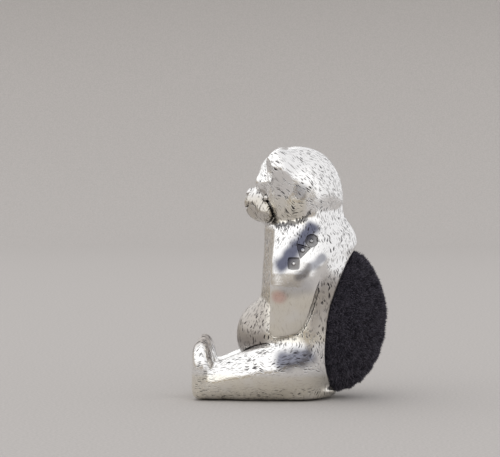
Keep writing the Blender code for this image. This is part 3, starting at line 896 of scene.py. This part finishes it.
def stage_material():
    """Matt pale grey paper with a fine grain, a little darker towards the top."""
    material = bpy.data.materials.new("pale_paper")
    nodes = Tree(material)
    place = nodes.add("ShaderNodeTexCoord").outputs["Object"]
    grain = nodes.noise(place, 2.4, 2.0)
    shade = nodes.remap(nodes.parts(place)[2], SHADE_FROM * MM, SHADE_TO * MM)
    colour = nodes.mix(shade, LOW_PAPER, HIGH_PAPER)
    colour = nodes.mix(nodes.remap(grain, 0.35, 0.65, 0.0, 0.4), colour, PAPER_FLECK)
    inputs = {"Base Color": colour, "Roughness": 0.9, "Specular IOR Level": 0.1}
    surface = nodes.add("ShaderNodeBsdfPrincipled", inputs)
    nodes.add("ShaderNodeOutputMaterial", {"Surface": surface.outputs[0]})
    return material


def stage_piece():
    """Floor and backdrop in one sheet."""
    profile = [(STAGE_NEAR, 0.0, STAGE_HALF_WIDTH), (STAGE_WIDE_TO, 0.0, STAGE_HALF_WIDTH)]
    for i in range(CURVE_STEPS + 1):
        turn = 0.5 * math.pi * i / CURVE_STEPS
        x, z = STAGE_FAR - STAGE_CURVE * math.sin(turn), STAGE_CURVE * (1 - math.cos(turn))
        profile.append((x, z, BACKDROP_HALF_WIDTH))
    profile.append((STAGE_FAR - STAGE_CURVE, STAGE_TOP, BACKDROP_HALF_WIDTH))
    vertices = [(x, side * half_width, z) for x, z, half_width in profile for side in (-1, 1)]
    faces = [(2 * i, 2 * i + 1, 2 * i + 3, 2 * i + 2) for i in range(len(profile) - 1)]
    piece = make_object("backdrop", vertices, faces)
    smooth(piece)
    piece.data.materials.append(stage_material())


# The tent's hem by azimuth: each step lifts or lowers it from one height to another, as the
# upward part of the direction. The azimuth is 0 at the bear's left and grows towards its back.
HEM_STEPS = ((-1.1, -0.5, 0.1, 0.17), (0.5, 1.0, 0.0, -0.35), (1.2, 1.8, 0.0, -0.65))
SIDE_CLOTH = (1.22, 1.22, 1.22, 1)
BACK_CLOTH = (0.92, 0.92, 0.93, 1)
TABLE = (0.42, 0.375, 0.32, 1)
SEEN_BACKGROUND = (0.42, 0.40, 0.385, 1)


def studio_light():
    """Plain soft light from a white tent that hangs lower at the back, over a beige table."""
    world = bpy.data.worlds.new("tent")
    bpy.context.scene.world = world
    nodes = Tree(world)
    way = nodes.parts(nodes.add("ShaderNodeTexCoord").outputs["Generated"])
    azimuth = nodes.math("ARCTAN2", way[1], way[0])
    hem = nodes.remap(azimuth, *HEM_STEPS[0])
    for step in HEM_STEPS[1:]:
        hem = nodes.math("ADD", hem, nodes.remap(azimuth, *step))
    above = nodes.math("SUBTRACT", way[2], hem)
    white = nodes.remap(above, -0.06, 0.08)
    cloth = nodes.mix(nodes.remap(azimuth, 0.4, 1.4), SIDE_CLOTH, BACK_CLOTH)
    tent = nodes.mix(white, TABLE, cloth)
    seen = nodes.add("ShaderNodeLightPath").outputs["Is Camera Ray"]
    tent = nodes.mix(seen, tent, SEEN_BACKGROUND)
    background = nodes.add("ShaderNodeBackground", {"Color": tent, "Strength": 1.0})
    nodes.add("ShaderNodeOutputWorld", {"Surface": background.outputs[0]})


# The camera, from the photograph: pixels per millimetre and the picture's middle in the frame
PIXELS_PER_MM = 6.58
PICTURE_WIDTH = 500
CAMERA_AZIMUTH = math.radians(92.5)
CAMERA_HEIGHT_ANGLE = math.radians(3.0)
CAMERA_DISTANCE = 420.0
PICTURE_CENTRE = (0.0, -7.6, 25.65)
SENSOR = 36.0


def camera():
    """The camera at the photograph's viewing angle."""
    data = bpy.data.cameras.new("camera")
    data.sensor_width = SENSOR
    data.lens = PIXELS_PER_MM * CAMERA_DISTANCE * SENSOR / PICTURE_WIDTH
    data.clip_start = 0.01
    data.clip_end = 10.0
    level = math.cos(CAMERA_HEIGHT_ANGLE)
    back = Vector((
        math.sin(CAMERA_AZIMUTH) * level,
        -math.cos(CAMERA_AZIMUTH) * level,
        math.sin(CAMERA_HEIGHT_ANGLE),
    ))
    piece = bpy.data.objects.new("camera", data)
    piece.location = (Vector(PICTURE_CENTRE) + back * CAMERA_DISTANCE) * MM
    piece.rotation_euler = (-back).to_track_quat("-Z", "Y").to_euler()
    bpy.context.scene.collection.objects.link(piece)
    bpy.context.scene.camera = piece


camera()
studio_light()
stage_piece()

silver = silver_piece()
dress(silver, silver_material(), "silver", "bear_body")

pad = cover_piece()
pile = pile_piece(pad)
dress(pad, velvet_material("velvet", False), "velvet", "velvet_cover")
dress(pile, velvet_material("velvet_pile", True), "velvet")

filling = filling_piece()
dress(filling, sawdust_material(), "sawdust", "cushion_stuffing")

bpy.context.scene.view_settings.view_transform = "Standard"
